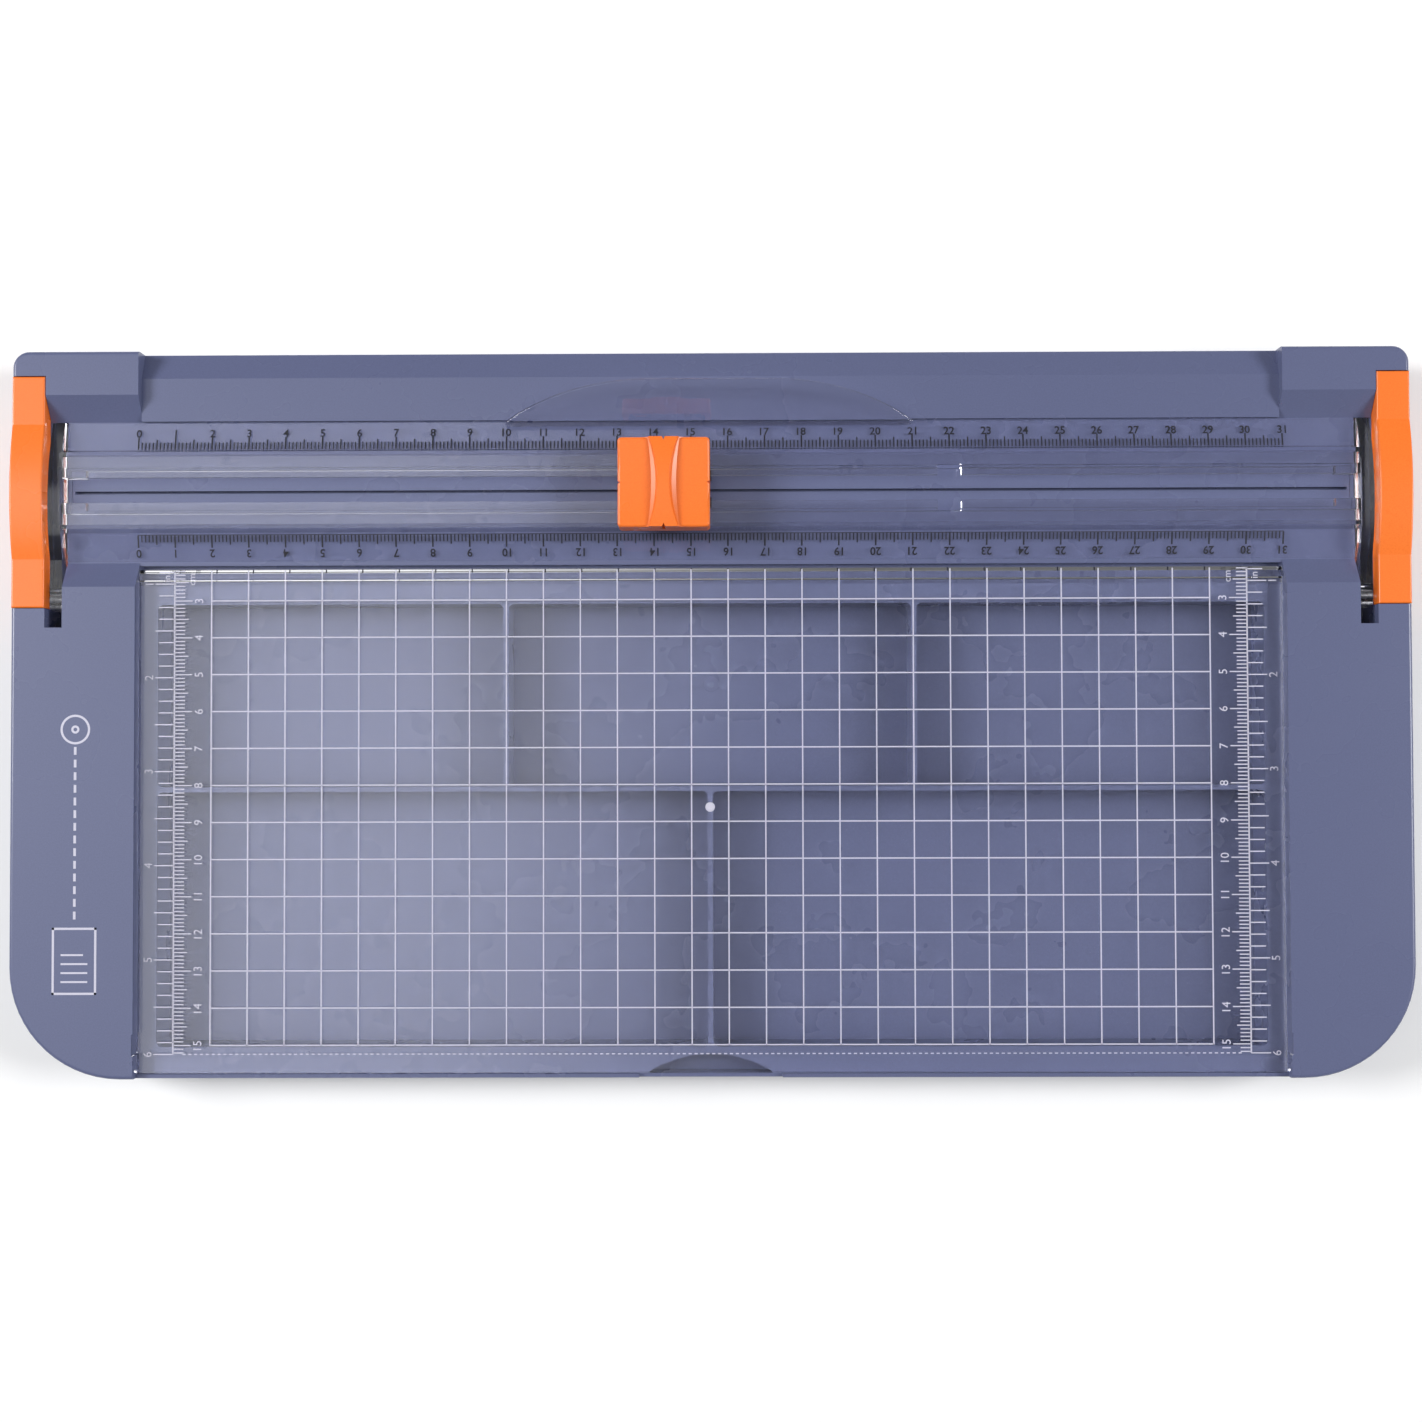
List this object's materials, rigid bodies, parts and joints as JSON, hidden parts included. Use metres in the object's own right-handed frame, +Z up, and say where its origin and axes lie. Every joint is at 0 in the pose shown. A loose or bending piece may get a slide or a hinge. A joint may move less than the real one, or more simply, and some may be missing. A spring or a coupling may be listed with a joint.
{
  "type": "rotary paper trimmer",
  "caption": "Flat desk-top paper trimmer: lidded storage tray, hinged clear ruler that clamps the paper, and a sliding spring-up head with a round blade.",
  "frame": {"origin": "on the table, under the middle of the base", "axes": "+X along the cut to the right, +Y to the rear where the ruler is, +Z up"},
  "size_m": [0.377, 0.1964, 0.0357],
  "materials": {
    "base_plastic": "satin",
    "orange_plastic": "satin",
    "clear_lid": "clear",
    "clear_ruler": "clear",
    "black_plastic": "matte",
    "steel": "bright",
    "blade_steel": "ground",
    "brass": "turned",
    "foot_rubber": "matte"
  },
  "bodies": {
    "base": {"base_shell": "base_plastic", "cutting_strip": "base_plastic", "left_end_cover": "orange_plastic", "right_end_cover": "orange_plastic", "left_hinge_pin": "steel", "right_hinge_pin": "steel", "front_left_foot": "foot_rubber", "front_right_foot": "foot_rubber", "rear_left_foot": "foot_rubber", "rear_right_foot": "foot_rubber"},
    "lid": {"lid_panel": "clear_lid"},
    "ruler": {"ruler_beam": "clear_ruler"},
    "carriage": {"carriage_frame": "black_plastic"},
    "cutter_head": {"head_cap": "orange_plastic", "blade_holder": "black_plastic", "holder_screws": "steel", "blade_axle": "steel", "front_return_spring": "steel", "rear_return_spring": "steel"},
    "blade": {"rotary_blade": "blade_steel", "blade_hub": "brass", "hub_washer": "brass"}
  },
  "joints": [
    {"name": "lid_open", "type": "hinge", "parent": "base", "child": "lid", "pos_m": [0, 0.03723, 0.0167], "axis": [-1, 0, 0], "range_deg": [0, 65]},
    {"name": "ruler_lift", "type": "hinge", "parent": "base", "child": "ruler", "pos_m": [0, 0.03138, 0.013], "axis": [1, 0, 0], "range_deg": [0, 28]},
    {"name": "carriage_slide", "type": "slide", "parent": "ruler", "child": "carriage", "axis": [1, 0, 0], "range_m": [-0.1441, 0.1679]},
    {"name": "head_press", "type": "slide", "parent": "carriage", "child": "cutter_head", "axis": [0, 0, -1], "range_m": [0, 0.0024], "stiffness_N_per_m": 350, "springref_m": -0.004, "deforming": ["front_return_spring", "rear_return_spring"]},
    {"name": "blade_spin", "type": "hinge", "parent": "cutter_head", "child": "blade", "pos_m": [-0.0119, 0.06028, 0.025], "axis": [0, 1, 0], "continuous": true}
  ],
  "couplings": [
    {"joint": "blade_spin", "follows": "carriage_slide", "rad_per_m": 153.85}
  ]
}
